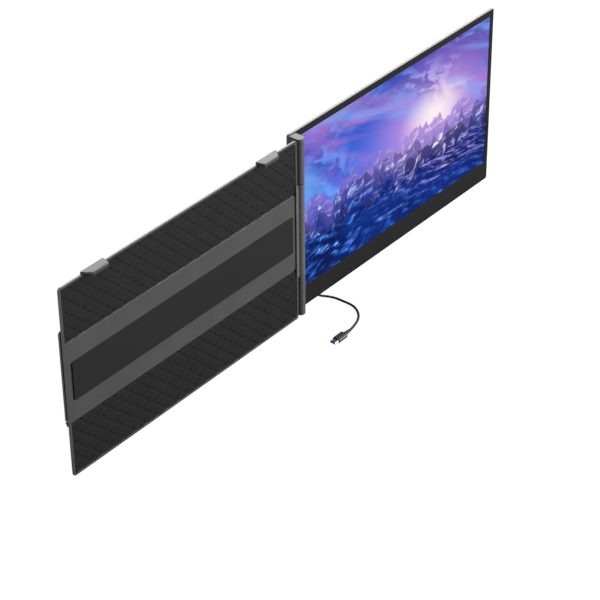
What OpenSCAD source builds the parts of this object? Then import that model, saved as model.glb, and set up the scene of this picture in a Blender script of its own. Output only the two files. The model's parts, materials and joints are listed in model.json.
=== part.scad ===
// Laptop screen extender: a back plate that hangs on the lid of a laptop,
// a monitor on a vertical hinge at its right edge, two sliding clips and a
// fold-out stand behind.  X runs to the right, Y runs back, Z runs up the
// plate.  The origin is the middle of the pad that the lid lies against.

/* [Back plate] */
// Width of the back plate
plate_w = 392; // [350:1:440]
// Corner radius of the back plate
plate_r = 4; // [2:0.5:8]
// Width of the raised rim
rim_w = 2.8; // [2:0.1:4]
// Thickness of the front tray
tray_t = 3; // [2.8:0.1:4]
// Height of the tray's straight side, before the bevel begins
edge_t = 2; // [1.6:0.1:2.4]
// Inset of the bevel where the tray meets the cover
edge_in = 1; // [0.5:0.1:1.4]
// Thickness of the rear cover
cover_t = 2.6; // [2.4:0.1:4]
// Bevel round the back of the rear cover
cover_bevel = 2.2; // [1:0.1:3]
// Radius of the cover screws' shanks
cover_screw_r = 0.8; // [0.6:0.1:1]
// Distance of the cover screws from the plate's edges
cover_screw_in = 11; // [9:0.5:14]

/* [Front face] */
// Distance of the rubber pad from the plate's left and right edges
pad_in = 10; // [5:0.5:40]
// Height of the rubber pad
pad_h = 50; // [30:1:90]
// How far the pad stands in front of the rim
pad_proud = 1.2; // [0.8:0.1:2]
// Height of the smooth middle panel
panel_h = 102; // [96:1:104]
// How far the middle panel lies behind the rim
panel_drop = 0.4; // [0.2:0.1:0.8]
// How far the floor under the textured panels lies behind the rim
mat_drop = 1.3; // [1.1:0.1:1.4]
// Thickness of a textured panel under its diamonds
mat_t = 0.4; // [0.3:0.1:0.6]
// Groove between the middle panel and a textured panel
mat_gap = 2; // [1:0.5:4]
// Height of the raised diamonds
diamond_t = 0.75; // [0.4:0.05:0.8]
// Diagonal of a diamond
diamond_d = 12.6; // [8:0.2:14]
// Distance between diamonds across the plate
diamond_px = 17.75; // [16:0.25:22]
// Distance between diamonds up the plate
diamond_pz = 17.4; // [16:0.2:22]
// Height of the first row of diamonds at the rim
diamond_z = 68.4; // [62:0.1:76]

/* [Lid clips] */
// Distance of each clip's middle from the plate's edge
clip_in = 53; // [42:1:90]
// Width of a clip at the plate
clip_w = 35.5; // [32:0.5:40]
// How much a clip narrows towards the front on its outer side
clip_slant_out = 7; // [3:0.5:8]
// How much a clip narrows towards the front on its inner side
clip_slant_in = 2.5; // [1:0.5:5]
// Room for the lid between the pad and the clip's lip
lid_room = 6.4; // [5:0.1:6.6]
// Thickness of the clip's lip
lip_t = 1.5; // [1.2:0.1:1.6]
// How far the lip reaches down in front of the lid
lip_drop = 2.2; // [1.5:0.1:5]
// Thickness of the clip's top
clip_t = 2.4; // [1.8:0.1:3]
// Bevel round the clip's top
clip_bevel = 0.9; // [0.4:0.1:1.1]
// Thickness of the steel tongue
tongue_t = 1; // [0.8:0.1:1.2]
// Width of the steel tongue
tongue_w = 29; // [20:1:30]
// Length of the tongue below the clip's top
tongue_l = 52.6; // [52:0.2:56]
// How far a clip pulls out
clip_travel = 26; // [16:1:28]
// Radius of the stop pin in the tongue's slot
stop_r = 1.5; // [1:0.1:2]
// Thickness of the rubber inside the clip
grip_t = 0.8; // [0.5:0.1:1.2]

/* [Stand] */
// Distance of the fold-out stand from the plate's right edge
stand_in = 16; // [12:0.5:80]
// Height of the stand's hinge below the middle of the plate
stand_drop = 49; // [40:1:60]
// Wall of the cover between the stand and the clips' channels
stand_wall = 1.8; // [1.5:0.1:12]
// Thickness of the stand
stand_t = 2.6; // [2.4:0.1:3]
// Thickness of the cover's floor behind the stand
stand_floor = 0.6; // [0.5:0.1:0.8]
// Radius of the stand's hinge pin
stand_pin_r = 0.6; // [0.5:0.05:0.7]
// Height of the stand's fixed rail below its hinge axis
rail_h = 8.6; // [6:0.1:12]
// Number of the stand's own knuckles
stand_knuckles = 5; // [3:1:7]
// Length of a rubber foot on the stand's tip
foot_l = 70; // [40:1:100]

/* [Hinge] */
// Distance of the hinge axis outside the plate's edge
hinge_out = 6.4; // [6.1:0.1:8]
// Distance of the hinge axis behind the rim's front
hinge_back = 1.6; // [1:0.1:2.4]
// Radius of the hinge barrel
barrel_r = 5.6; // [5:0.1:5.8]
// Height of the middle knuckle
knuckle_h = 126; // [90:1:140]
// Radius of the hinge shafts
shaft_r = 2; // [1.5:0.1:2.5]
// Length of a shaft inside the knuckle
shaft_in = 26; // [15:1:40]
// Distance from a shaft's outer end to the arm's cap
shaft_gap = 7.4; // [3:0.2:20]
// Radial clearance of the shafts in their bushings
shaft_fit = 0.05; // [0.02:0.01:0.08]
// Wall of a hinge bushing
bushing_t = 1.2; // [0.8:0.1:1.5]
// Thickness of a friction washer
washer_t = 0.6; // [0.4:0.1:1]
// Thickness of the caps on the barrel's ends
cap_t = 1.6; // [1:0.1:2.4]
// Thickness of the hinge leaf inside the tray
leaf_t = 1.4; // [1:0.1:1.6]
// Reach of the hinge leaf into the tray
leaf_w = 24; // [16:1:40]
// Thickness of the web in front of the rim
web_t = 0.7; // [0.5:0.1:1]
// Height of the hinge leaf
leaf_h = 96; // [70:1:98]
// Width of the trim strip in front of the rim
strip_w = 4.5; // [3:0.5:5]

/* [Monitor] */
// Width of the picture
screen_w = 381.6; // [340:0.1:400]
// Height of the picture
screen_h = 214.9; // [204:0.1:250]
// Width of the frame left of the picture
bezel_left = 23.2; // [18:0.2:40]
// Width of the frame right of the picture
bezel_right = 6.9; // [4.5:0.1:12]
// Width of the frame above the picture
bezel_top = 9; // [8:0.5:14]
// Height of the chin below the picture
chin_h = 27.4; // [18:0.1:40]
// How much taller than the back plate the monitor is
mon_over = 2.5; // [0:0.5:6]
// How far the monitor's middle lies above the plate's middle
mon_up = -0.1; // [-1:0.1:2]
// Distance of the monitor's left edge beyond the hinge barrel's
mon_in = 0.2; // [0:0.1:1]
// Distance of the screen's face behind the hinge axis
mon_back = 11.2; // [11:0.1:14]
// Corner radius of the monitor
mon_r = 3; // [1:0.5:6]
// Thickness of the front frame
bezel_t = 2.2; // [2:0.1:3]
// Thickness of the rear shell
shell_t = 2.4; // [2.2:0.1:4]
// Bevel round the back of the rear shell
shell_bevel = 1; // [0.5:0.1:1.2]
// Thickness of the frame's lip over the picture's edge
lip_face = 0.8; // [0.6:0.1:1]
// How far the glass reaches behind the lip
glass_under = 2.4; // [1.5:0.1:2.6]
// Thickness of the strip on the chin
chin_t = 0.8; // [0.6:0.1:1]

/* [Electronics housing] */
// Width of the housing on the monitor's back
hump_w = 220; // [200:1:300]
// Height of the housing
hump_h = 100; // [80:1:120]
// Depth of the housing
hump_t = 8.4; // [8:0.1:12]
// Distance of the housing from the monitor's left edge
hump_x = 35; // [25:1:60]
// Height of the housing's lower wall below the monitor's middle
hump_drop = 61.9; // [58:0.1:66]
// Wall of the housing
hump_wall = 1.5; // [1.2:0.1:2]
// Bevel round the back of the housing
hump_bevel = 2; // [1:0.1:3]
// Thickness of the circuit board
board_t = 1.2; // [1:0.1:1.6]
// Height of the circuit board
board_h = 62; // [40:1:70]
// Distance of the circuit board from the housing's sides
board_in = 14; // [13:0.5:30]
// Distance of the first socket from the housing's side
port_in = 24; // [20:0.5:40]
// Distance from the first socket to the next
port_pitch = 22; // [18:1:30]
// Radius of the round keys
key_r = 2.2; // [1.8:0.1:2.4]
// How far a key stands out of the housing
key_proud = 0.9; // [0.7:0.1:1.2]
// Travel of a key
key_travel = 0.6; // [0.4:0.1:0.6]
// Distance between keys
key_pitch = 14; // [10:1:20]

/* [Cable] */
// Diameter of the cable
cable_d = 3; // [2.6:0.1:3.4]
// Length of a cable plug's grip
plug_l = 16; // [15:0.5:24]
// Width of a cable plug's grip
plug_w = 11; // [10:0.5:14]
// Thickness of a cable plug's grip
plug_t = 6.4; // [5:0.1:7]
// Length of a cable plug's strain relief
relief_l = 11; // [6:0.2:12]
// Length of a cable plug's metal shell
tip_l = 6.6; // [5.8:0.1:7]

/* [Hidden] */

// Gap between pieces that move past each other
run = 0.3;
// Gap between pieces that are set into each other
seat = 0.1;
fine = 64;
coarse = 32;

mon_w = screen_w + bezel_left + bezel_right;
mon_h = screen_h + bezel_top + chin_h;
plate_h = mon_h - mon_over;
pad_w = plate_w - 2 * pad_in;
stand_w = plate_w - stand_in;

// Planes of the back plate, from front to back
rim_y = pad_proud;
panel_y = rim_y + panel_drop;
mat_y = rim_y + mat_drop;
cover_y = rim_y + tray_t;
back_y = cover_y + cover_t;
plate_x = plate_w / 2;
plate_z = plate_h / 2;
inner_x = plate_x - rim_w;
inner_z = plate_z - rim_w;

// The clip's tongue runs half in the tray and half in the cover
tongue_y = cover_y - 0.6;
channel_y0 = tongue_y - run;
channel_y1 = tongue_y + tongue_t + run;
clip_x = plate_x - clip_in;
clip_z = plate_z + run;
channel_z = clip_z - tongue_l - 0.8;
clip_back = tongue_y + tongue_t;
clip_front = -lid_room - lip_t;
stop_z = plate_z - 12;
slot_hw = stop_r + run;

// The stand lies in a recess of the rear cover
stand_y0 = cover_y + stand_floor + run;
stand_y = stand_y0 + stand_t / 2;
stand_k = stand_t / 2;
stand_x1 = stand_w - plate_x;
stand_z = -stand_drop;
stand_foot_z = stand_k + 0.4;
rail_z = stand_z - rail_h;
recess_top = channel_z - stand_wall;
stand_l = recess_top - run - stand_z;
knuckle_n = 2 * stand_knuckles - 1;
knuckle_l = stand_w / knuckle_n;

// The hinge and the monitor
hinge_x = plate_x + hinge_out;
hinge_y = rim_y + hinge_back;
arm_z0 = knuckle_h / 2 + washer_t + run;
mon_x0 = hinge_x - barrel_r + mon_in;
mon_x1 = mon_x0 + mon_w;
mon_z0 = mon_up - mon_h / 2;
mon_z1 = mon_up + mon_h / 2;
face_y = hinge_y + mon_back;
shell_y = face_y + bezel_t;
mon_back_y = shell_y + shell_t;
arm_top = mon_z1 - 0.9;
arm_bottom = mon_z0 + 3.9;
gasket_t = 0.4;
arm_back = face_y - gasket_t;
pic_x1 = mon_x1 - bezel_right;
pic_x0 = pic_x1 - screen_w;
pic_z1 = mon_z1 - bezel_top;
pic_z0 = pic_z1 - screen_h;
glass_y0 = face_y + lip_face;
shell_skin = 1;
shell_in_y = mon_back_y - shell_skin;

// The housing, its sockets and its keys
hump_x0 = mon_x0 + hump_x;
hump_x1 = hump_x0 + hump_w;
hump_z0 = mon_up - hump_drop;
hump_z1 = hump_z0 + hump_h;
hump_y1 = mon_back_y + hump_t;
board_y = mon_back_y + 1.6;
port_x = hump_x0 + port_in;
port_y = board_y + board_t + 1.65;
hdmi_x = port_x + 2 * port_pitch;
key_x = hdmi_x + port_pitch + 6;
key_y = mon_back_y + (hump_t - hump_wall) / 2;
key_top = hump_z0 + 4.2;
switch_z = key_top + key_travel + run;

// The cable hangs from its plug in the first socket.  Its route runs from
// the end of the upper strain relief, down behind the screen, under it and
// forward to the laptop's side.
cable_r = cable_d / 2;
plug_z1 = hump_z0 - 0.6;
plug_z0 = plug_z1 - plug_l;
route_start = [port_x, port_y, plug_z0 - relief_l];
route = [
    [0, 0, 0], [0, 2.95, -11.4], [0, 7.95, -22.9], [0.3, 9.15, -32.4],
    [1.3, 4.25, -39.8], [3.3, -4.25, -42.6], [7.4, -12.65, -42.8],
    [10.5, -22.25, -42.8], [11.3, -36.65, -42.8], [10.8, -48.65, -42.8],
    [6.6, -59.05, -42.8], [-1, -67.85, -42.8], [-8.7, -72.95, -42.8],
    [-16.7, -76.05, -42.8], [-23.8, -77.95, -42.6],
    [-29.1, -79.55, -41.9], [-34.4, -80.8, -41.2]
];
route_end = route_start + route[len(route) - 1];
relief_x = route_end[0] - relief_l;

// ---------------------------------------------------------------- helpers

// Extrudes a profile drawn in X and Z from y0 back to y1
module slab(y0, y1) {
    translate([0, y1, 0])
        rotate([90, 0, 0])
            linear_extrude(height = y1 - y0)
                children();
}

// Extrudes a profile drawn in Y and Z from x0 to x1
module along_x(x0, x1) {
    translate([x0, 0, 0])
        rotate([90, 0, 90])
            linear_extrude(height = x1 - x0)
                children();
}

// Extrudes a plan drawn in X and Y from z0 up to z1
module rise(z0, z1) {
    translate([0, 0, z0])
        linear_extrude(height = z1 - z0)
            children();
}

// Rectangle with round corners between two corner points
module round_box(x0, z0, x1, z1, r, n = fine) {
    translate([x0 + r, z0])
        square([x1 - x0 - 2 * r, z1 - z0]);
    translate([x0, z0 + r])
        square([x1 - x0, z1 - z0 - 2 * r]);
    for (x = [x0 + r, x1 - r], z = [z0 + r, z1 - r])
        translate([x, z])
            circle(r = r, $fn = n);
}

module box(x0, z0, x1, z1) {
    translate([x0, z0])
        square([x1 - x0, z1 - z0]);
}

// Round bar along Y
module bar_y(x, z, y0, y1, r) {
    translate([x, y0, z])
        rotate([-90, 0, 0])
            cylinder(r = r, h = y1 - y0, $fn = fine);
}

// ------------------------------------------------------------- back plate

module plate_outline(inset = 0) {
    round_box(inset - plate_x, inset - plate_z, plate_x - inset,
        plate_z - inset, plate_r, coarse);
}

module clip_channel(y0, y1) {
    for (s = [-1, 1])
        slab(y0, y1)
            box(s * clip_x - tongue_w / 2 - run, channel_z,
                s * clip_x + tongue_w / 2 + run, plate_z + 1);
}

// Places of the cover screws
cover_screws_xz = [
    for (x = [-1, 1], z = [-1, 1])
        [x * (plate_x - cover_screw_in), z * (plate_z - cover_screw_in)],
    for (x = [-1, 1], z = [-1, 1])
        [x * plate_x * 0.32, z * (plate_z - cover_screw_in)]
];

// Places of the rivets through the hinge leaf
leaf_x = plate_x - leaf_w + 6;
leaf_rivets_z = [for (i = [-1.5 : 1 : 1.5]) i * leaf_h / 4];

module back_tray() color("#3a3b3e") difference() {
    hull() {
        slab(rim_y, rim_y + edge_t)
            plate_outline();
        slab(cover_y - 0.1, cover_y)
            plate_outline(edge_in);
    }
    // seat of the middle panel and of the two textured panels
    slab(rim_y - 1, panel_y)
        box(-inner_x, -panel_h / 2, inner_x, panel_h / 2);
    for (s = [-1, 1])
        slab(rim_y - 1, mat_y) difference() {
            box(-inner_x, s > 0 ? panel_h / 2 : -inner_z,
                inner_x, s > 0 ? inner_z : -panel_h / 2);
            // gussets in the corners at the hinge
            translate([inner_x, s * inner_z])
                polygon([[1, 0], [-4, 0], [0, -s * 4], [1, -s * 4]]);
        }
    clip_channel(channel_y0, cover_y + 1);
    // seat of the hinge leaf
    slab(cover_y - leaf_t, cover_y + 1)
        box(plate_x - leaf_w, -leaf_h / 2, plate_x + 1, leaf_h / 2);
    for (p = cover_screws_xz)
        bar_y(p[0], p[1], mat_y + 0.5, cover_y + 1, cover_screw_r);
}

module rear_cover() color("#2c2d30") difference() {
    hull() {
        slab(cover_y, cover_y + 0.1)
            plate_outline(edge_in);
        slab(back_y - 0.1, back_y)
            plate_outline(edge_in + cover_bevel);
    }
    clip_channel(cover_y - 1, channel_y1);
    // recess of the stand, open at the plate's left edge
    slab(cover_y + stand_floor, back_y + 1)
        box(-plate_x - 1, rail_z - run, stand_x1 + run, recess_top);
    // scoop for the finger that lifts the stand
    translate([stand_x1 - stand_w / 2, back_y + 7, recess_top])
        sphere(r = 8.8, $fn = fine);
    for (p = cover_screws_xz) {
        bar_y(p[0], p[1], cover_y - 1, back_y + 1, cover_screw_r);
        bar_y(p[0], p[1], back_y - 1, back_y + 1, 2 * cover_screw_r + seat);
    }
}

module lid_pad() color("#151516")
    slab(0, panel_y)
        round_box(-pad_w / 2, -pad_h / 2, pad_w / 2, pad_h / 2, 2);

// Upper textured panel: a sheet with raised diamonds, cut off at the rim
module grip_panel() {
    x = inner_x - seat;
    z0 = panel_h / 2 + mat_gap;
    z1 = inner_z - seat;
    slab(mat_y - mat_t, mat_y)
        difference() {
            box(-x, z0, x, z1);
            corner_cut();
        }
    slab(mat_y - mat_t - diamond_t, mat_y - mat_t)
        intersection() {
            difference() {
                box(-x, z0, x, z1);
                corner_cut();
            }
            for (i = [0 : floor(2 * plate_w / diamond_px)])
                for (j = [-2 : 4])
                    translate([
                        i * diamond_px / 2 - inner_x,
                        diamond_z + (j + (i % 2) / 2) * diamond_pz
                    ])
                        rotate(45)
                            square(diamond_d / sqrt(2), center = true);
        }
}

module corner_cut() {
    translate([inner_x, inner_z])
        polygon([[1, 1], [-5.2, 1], [-5.2, 0], [0, -5.2], [1, -5.2]]);
}

module upper_grip_panel() color("#1c1d1f") grip_panel();

module lower_grip_panel() color("#1c1d1f") mirror([0, 0, 1]) grip_panel();

module cover_screws() color("#8a8b8d")
    for (p = cover_screws_xz) {
        bar_y(p[0], p[1], mat_y + 0.6, back_y - 1, cover_screw_r);
        difference() {
            bar_y(p[0], p[1], back_y - 1, back_y - 0.2, 2 * cover_screw_r);
            for (a = [0, 90])
                translate([p[0], back_y - 0.2, p[1]])
                    rotate([0, a, 0])
                        cube([2 * cover_screw_r, 0.8, 0.35], center = true);
        }
    }

// ------------------------------------------------------------- lid clips

// Plan of a clip, with its outer side at -X
module clip_plan(inset = 0) {
    w = clip_w / 2 - inset;
    f = clip_front + inset;
    b = clip_back - inset;
    r = 1.6;
    hull()
        for (p = [[-w + r, b - r], [w - r, b - r],
            [clip_slant_out - w + r, f + r], [w - clip_slant_in - r, f + r]])
            translate(p)
                circle(r = r, $fn = coarse);
}

module tongue() color("#7d7f82") slab(tongue_y, tongue_y + tongue_t)
    difference() {
        union() {
            round_box(-tongue_w / 2, clip_z - tongue_l, tongue_w / 2,
                clip_z, 2);
            box(-tongue_w / 2, clip_z - 10, tongue_w / 2,
                clip_z + clip_t - 1.2);
        }
        round_box(-slot_hw, stop_z - clip_travel - slot_hw, slot_hw,
            stop_z + slot_hw, slot_hw - 0.01);
    }

// Moulded top and lip of a clip, with the tongue's slot in its back edge
module hook() color("#5b5d60") difference() {
    hull() {
        rise(clip_z - lip_drop, clip_z + clip_t - clip_bevel)
            clip_plan();
        rise(clip_z + clip_t - 0.1, clip_z + clip_t)
            clip_plan(clip_bevel);
    }
    // room for the lid
    translate([-clip_w, -lid_room, clip_z - lip_drop - 1])
        cube([2 * clip_w, 2 * clip_w, lip_drop + 1]);
    slab(tongue_y, clip_back + 1)
        box(-tongue_w / 2, clip_z - 1, tongue_w / 2, clip_z + clip_t - 1.2);
}

module grip() color("#161617") {
    w = clip_w / 2 - 2;
    translate([clip_slant_out - w + 1, -lid_room, clip_z - lip_drop])
        cube([2 * w - clip_slant_out - clip_slant_in - 2, grip_t, lip_drop]);
    translate([clip_slant_out - w + 1, -lid_room, clip_z - grip_t])
        cube([2 * w - clip_slant_out - clip_slant_in - 2, lid_room, grip_t]);
}

module left_clip_tongue() translate([-clip_x, 0, 0]) tongue();
module left_clip_hook() translate([-clip_x, 0, 0]) hook();
module left_clip_grip() translate([-clip_x, 0, 0]) grip();
module right_clip_tongue() mirror([1, 0, 0]) left_clip_tongue();
module right_clip_hook() mirror([1, 0, 0]) left_clip_hook();
module right_clip_grip() mirror([1, 0, 0]) left_clip_grip();

module clip_stop_pins() color("#9a9b9d")
    for (s = [-1, 1])
        bar_y(s * clip_x, stop_z, channel_y0, channel_y1, stop_r);

// ----------------------------------------------------------------- stand

// Start and end of knuckle i along the stand's hinge
function kx0(i) = i * knuckle_l - plate_x + (i > 0 ? run / 2 : 0);
function kx1(i) = (i + 1) * knuckle_l - plate_x
    - (i < knuckle_n - 1 ? run / 2 : 0);

module stand_rail() color("#3a3b3e") difference() {
    union() {
        along_x(-plate_x, stand_x1)
            translate([stand_y, stand_z])
                polygon([
                    [-stand_k - run, rail_z - stand_z],
                    [-stand_k - run, -stand_k - 0.2],
                    [-stand_k, -stand_k - 0.2],
                    [0, -2 * stand_k],
                    [stand_k, -2 * stand_k - 0.6],
                    [stand_k, -2 * stand_k - 1.2]
                ]);
        for (i = [1 : 2 : knuckle_n - 2])
            along_x(kx0(i), kx1(i))
                translate([stand_y, stand_z]) {
                    circle(r = stand_k, $fn = fine);
                    box(-stand_k, -2 * stand_k, 0, 0);
                }
    }
    translate([-plate_x - 1, stand_y, stand_z])
        rotate([0, 90, 0])
            cylinder(r = stand_pin_r, h = stand_w + 2, $fn = fine);
}

module stand_pin() color("#9a9b9d")
    translate([0.5 - plate_x, stand_y, stand_z])
        rotate([0, 90, 0])
            cylinder(r = stand_pin_r, h = stand_w - 1, $fn = fine);

// Ends of the rubber feet along X
feet_x = [26 - plate_x, stand_x1 - 26 - foot_l];

module stand_panel() color("#2f3033") difference() {
    union() {
        along_x(-plate_x, stand_x1)
            translate([stand_y, stand_z])
                polygon([
                    [-stand_k, stand_foot_z], [stand_k, stand_foot_z],
                    [stand_k, stand_l - 4.6], [-stand_k, stand_l]
                ]);
        for (i = [0 : 2 : knuckle_n - 1])
            along_x(kx0(i), kx1(i))
                translate([stand_y, stand_z]) {
                    circle(r = stand_k, $fn = fine);
                    box(-stand_k, 0, stand_k, stand_foot_z);
                }
    }
    translate([-plate_x - 1, stand_y, stand_z])
        rotate([0, 90, 0])
            cylinder(r = stand_pin_r + shaft_fit, h = stand_w + 2,
                $fn = fine);
    for (x = feet_x)
        translate([x, stand_y - 5, stand_z + stand_l - 6])
            cube([foot_l, 10, 10]);
    // ribs left standing between three shallow panels on the hidden side
    for (i = [0 : 2])
        slab(stand_y0 - 1, stand_y0 + 0.8)
            translate([-plate_x + 14 + i * (stand_w - 20) / 3, stand_z + 14])
                square([(stand_w - 20) / 3 - 8, stand_l - 36]);
}

module stand_feet() color("#18181a")
    for (x = feet_x)
        along_x(x + seat / 2, x + foot_l - seat / 2)
            translate([stand_y, stand_z])
                polygon([
                    [-stand_k, stand_l - 6], [stand_k, stand_l - 6],
                    [stand_k, stand_l - 4.6], [-stand_k, stand_l]
                ]);

// ----------------------------------------------------------------- hinge

module hinge_bracket() color("#6c6d70") difference() {
    union() {
        rise(-knuckle_h / 2, knuckle_h / 2)
            translate([hinge_x, hinge_y])
                circle(r = barrel_r, $fn = fine);
        // web that crosses in front of the rim
        rise(-knuckle_h / 2, knuckle_h / 2) {
            translate([plate_x + 1.2, rim_y - 1.2])
                square([hinge_out - 1.2, 1.2]);
            translate([inner_x + 0.2, rim_y - web_t])
                square([rim_w + 1.2, web_t]);
        }
        // leaf that is screwed into the tray
        slab(cover_y - leaf_t, cover_y)
            box(plate_x - leaf_w + seat, -leaf_h / 2 + seat, hinge_x,
                leaf_h / 2 - seat);
    }
    for (s = [-1, 1])
        translate([hinge_x, hinge_y, s > 0 ? knuckle_h / 2 - shaft_in - 1
            : -knuckle_h / 2 - 1])
            cylinder(r = shaft_r, h = shaft_in + 2, $fn = fine);
    for (z = leaf_rivets_z)
        bar_y(leaf_x, z, cover_y - leaf_t - 1, cover_y + 1, 1.6);
}

module hinge_trim_strip() color("#5a5b5e")
    rise(-knuckle_h / 2 - 0.6, knuckle_h / 2 + 0.4)
        translate([plate_x + 0.6, rim_y - web_t]) {
            translate([-strip_w, -0.7])
                square([strip_w, 0.7]);
            // leg inside the rim
            translate([-strip_w, -0.7])
                square([strip_w - rim_w - 0.7, web_t + 0.7]);
        }

module shaft() color("#b5b6b8") {
    z0 = knuckle_h / 2 - shaft_in;
    l = arm_top - cap_t - shaft_gap - z0;
    bevel = shaft_r / 3;
    translate([hinge_x, hinge_y, z0]) {
        cylinder(r = shaft_r, h = l - bevel, $fn = fine);
        translate([0, 0, l - bevel])
            cylinder(r1 = shaft_r, r2 = shaft_r - bevel, h = bevel,
                $fn = fine);
    }
}

module upper_hinge_shaft() shaft();
module lower_hinge_shaft() mirror([0, 0, 1]) shaft();

module friction_washers() color("#1c1c1e")
    for (s = [-1, 1])
        translate([hinge_x, hinge_y, s > 0 ? knuckle_h / 2
            : -knuckle_h / 2 - washer_t])
            difference() {
                cylinder(r = barrel_r - 0.4, h = washer_t, $fn = fine);
                translate([0, 0, -1])
                    cylinder(r = shaft_r + shaft_fit, h = washer_t + 2,
                        $fn = fine);
            }

module leaf_rivets() color("#9a9b9d")
    for (z = leaf_rivets_z)
        bar_y(leaf_x, z, cover_y - leaf_t, cover_y - 0.1, 1.5);

// Plan of the arm: the barrel and the block that reaches back
module arm_plan(grow = 0) {
    translate([hinge_x, hinge_y])
        circle(r = barrel_r + grow, $fn = fine);
    translate([hinge_x - barrel_r - grow, hinge_y])
        square([2 * (barrel_r + grow), arm_back - hinge_y]);
}

module arm(z0, z1) difference() {
    rise(z0, z1)
        arm_plan();
    translate([hinge_x, hinge_y, z0 - 1])
        cylinder(r = shaft_r + shaft_fit + bushing_t, h = z1 - z0 + 2,
            $fn = fine);
}

module upper_arm() color("#232427") arm(arm_z0, arm_top - cap_t);
module lower_arm() color("#232427") arm(arm_bottom + cap_t, -arm_z0);

module hinge_bushings() color("#b08d4f") {
    bushing(arm_z0, arm_top - cap_t);
    bushing(arm_bottom + cap_t, -arm_z0);
}

module bushing(z0, z1)
    translate([hinge_x, hinge_y, z0])
        difference() {
            cylinder(r = shaft_r + shaft_fit + bushing_t, h = z1 - z0,
                $fn = fine);
            translate([0, 0, -1])
                cylinder(r = shaft_r + shaft_fit, h = z1 - z0 + 2,
                    $fn = fine);
        }

// Slim bar between the two arms, behind the middle knuckle
module arm_spine() color("#232427")
    rise(-arm_z0, arm_z0)
        translate([hinge_x - barrel_r, hinge_y + barrel_r + 0.6])
            square([2 * barrel_r, mon_back - barrel_r - 0.6 - gasket_t]);

module arm_gasket() color("#0f0f10")
    slab(arm_back, face_y)
        box(hinge_x - barrel_r + mon_in + 0.6, arm_bottom + 3,
            hinge_x + barrel_r - 0.6, arm_top - 1);

module upper_arm_cap() color("#a2a3a5")
    rise(arm_top - cap_t, arm_top)
        arm_plan();

module lower_arm_cap() color("#6c6d70") hull() {
    rise(arm_bottom + cap_t - 0.2, arm_bottom + cap_t)
        arm_plan();
    rise(arm_bottom, arm_bottom + 0.2)
        translate([0, -0.1])
            arm_plan(-1.4);
}

// --------------------------------------------------------------- monitor

module mon_outline(inset = 0, n = coarse) {
    round_box(mon_x0 + inset, mon_z0 + inset, mon_x1 - inset,
        mon_z1 - inset, mon_r, n);
}

// Places of the screws that hold the rear shell to the front frame
shell_screws_xz = [
    for (i = [0 : 4])
        [mon_x0 + 24 + i * (mon_w - 48) / 4, mon_z1 - 3.2],
    for (i = [0 : 4])
        [mon_x0 + 24 + i * (mon_w - 48) / 4, mon_z0 + 12]
];

chin_z1 = pic_z0 - 1.2;
chin_z0 = mon_z0 + 2.4;

module bezel_frame() color("#0d0d0e") difference() {
    slab(face_y, shell_y)
        mon_outline(0, fine);
    // window over the picture
    slab(face_y - 1, shell_y + 1)
        box(pic_x0, pic_z0, pic_x1, pic_z1);
    // pocket of the glass
    slab(glass_y0, shell_y + 1)
        box(pic_x0 - glass_under - seat, pic_z0 - glass_under - seat,
            pic_x1 + glass_under + seat, pic_z1 + glass_under + seat);
    // seat of the chin strip
    slab(face_y - 1, face_y + chin_t)
        box(mon_x0 + 2, chin_z0, mon_x1 - 2, chin_z1);
    for (p = shell_screws_xz)
        bar_y(p[0], p[1], shell_y - 1, shell_y + 1, 0.7);
}

module chin_strip() color("#2b2b2c")
    slab(face_y, face_y + chin_t)
        box(mon_x0 + 2 + seat, chin_z0 + seat, mon_x1 - 2 - seat,
            chin_z1 - seat);

module display_panel() color("#3552a8")
    slab(glass_y0, shell_y)
        box(pic_x0 - glass_under, pic_z0 - glass_under,
            pic_x1 + glass_under, pic_z1 + glass_under);

module backlight_unit() color("#b9bbbd")
    slab(shell_y, shell_in_y)
        box(pic_x0 - glass_under, pic_z0 - glass_under,
            pic_x1 + glass_under, pic_z1 + glass_under);

module rear_shell() color("#1a1b1d") difference() {
    hull() {
        slab(shell_y, mon_back_y - shell_bevel)
            mon_outline();
        slab(mon_back_y - 0.1, mon_back_y)
            mon_outline(shell_bevel);
    }
    slab(shell_y - 1, shell_in_y)
        box(pic_x0 - glass_under - seat, pic_z0 - glass_under - seat,
            pic_x1 + glass_under + seat, pic_z1 + glass_under + seat);
    for (p = shell_screws_xz) {
        bar_y(p[0], p[1], shell_y - 1, mon_back_y + 1, 0.7);
        bar_y(p[0], p[1], mon_back_y - 0.8, mon_back_y + 1, 1.5);
    }
}

module shell_screws() color("#55575a")
    for (p = shell_screws_xz) {
        bar_y(p[0], p[1], shell_y - 0.9, mon_back_y - 0.1, 0.7);
        bar_y(p[0], p[1], mon_back_y - 0.8, mon_back_y - 0.1, 1.4);
    }

// ---------------------------------------------------- electronics housing

module hump_outline(inset) {
    round_box(hump_x0 + inset, hump_z0 + inset, hump_x1 - inset,
        hump_z1 - inset, 4, coarse);
}

// Places of the screws of the housing
housing_screws_xz = [
    for (x = [hump_x0 + 8, hump_x1 - 8], z = [hump_z0 + 8, hump_z1 - 8])
        [x, z]
];

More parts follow.
